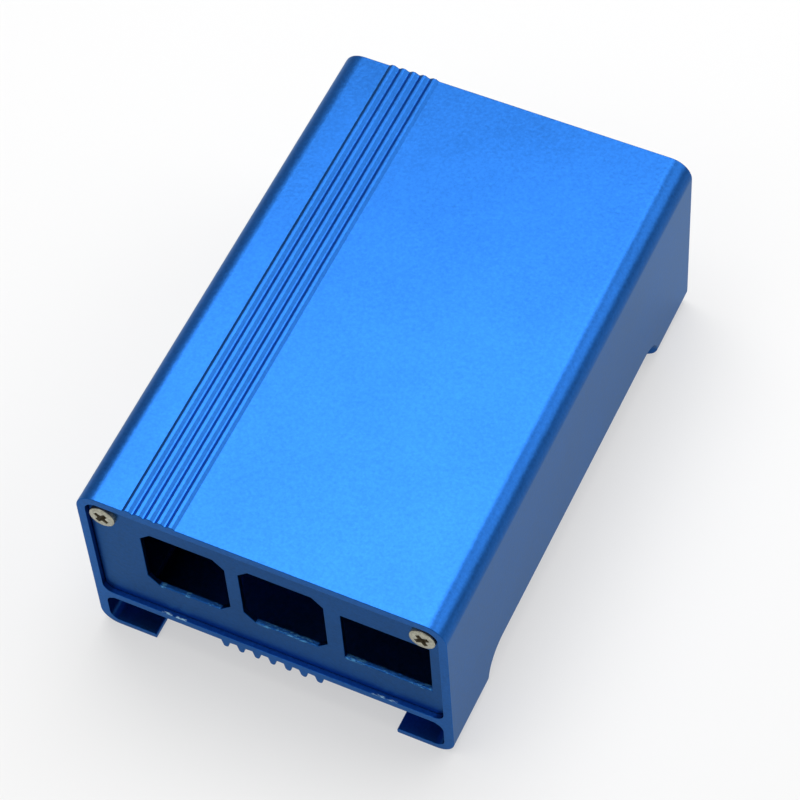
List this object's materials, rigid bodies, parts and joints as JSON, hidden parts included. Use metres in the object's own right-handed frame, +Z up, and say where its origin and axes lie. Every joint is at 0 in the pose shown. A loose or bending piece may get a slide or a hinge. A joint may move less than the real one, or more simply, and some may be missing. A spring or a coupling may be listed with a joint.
{
  "type": "single-board computer case",
  "caption": "Flat extruded aluminium case on rail feet for a single-board computer, with a ridged band along the top, recessed screwed end plates and socket openings in one end.",
  "frame": {"origin": "on the ground, in the middle of the case's width and length", "axes": "+X across the case, +Y along it from the socket end to the plain end, +Z up"},
  "size_m": [0.067, 0.1024, 0.0402],
  "materials": {
    "blue_anodised": "bead blasted and anodised blue",
    "nickel": "nickel plated steel, slightly dull"
  },
  "bodies": {
    "root": {"sleeve": "blue_anodised", "front_plate": "blue_anodised", "rear_plate": "blue_anodised", "end_plate_screws": "nickel"}
  },
  "joints": []
}
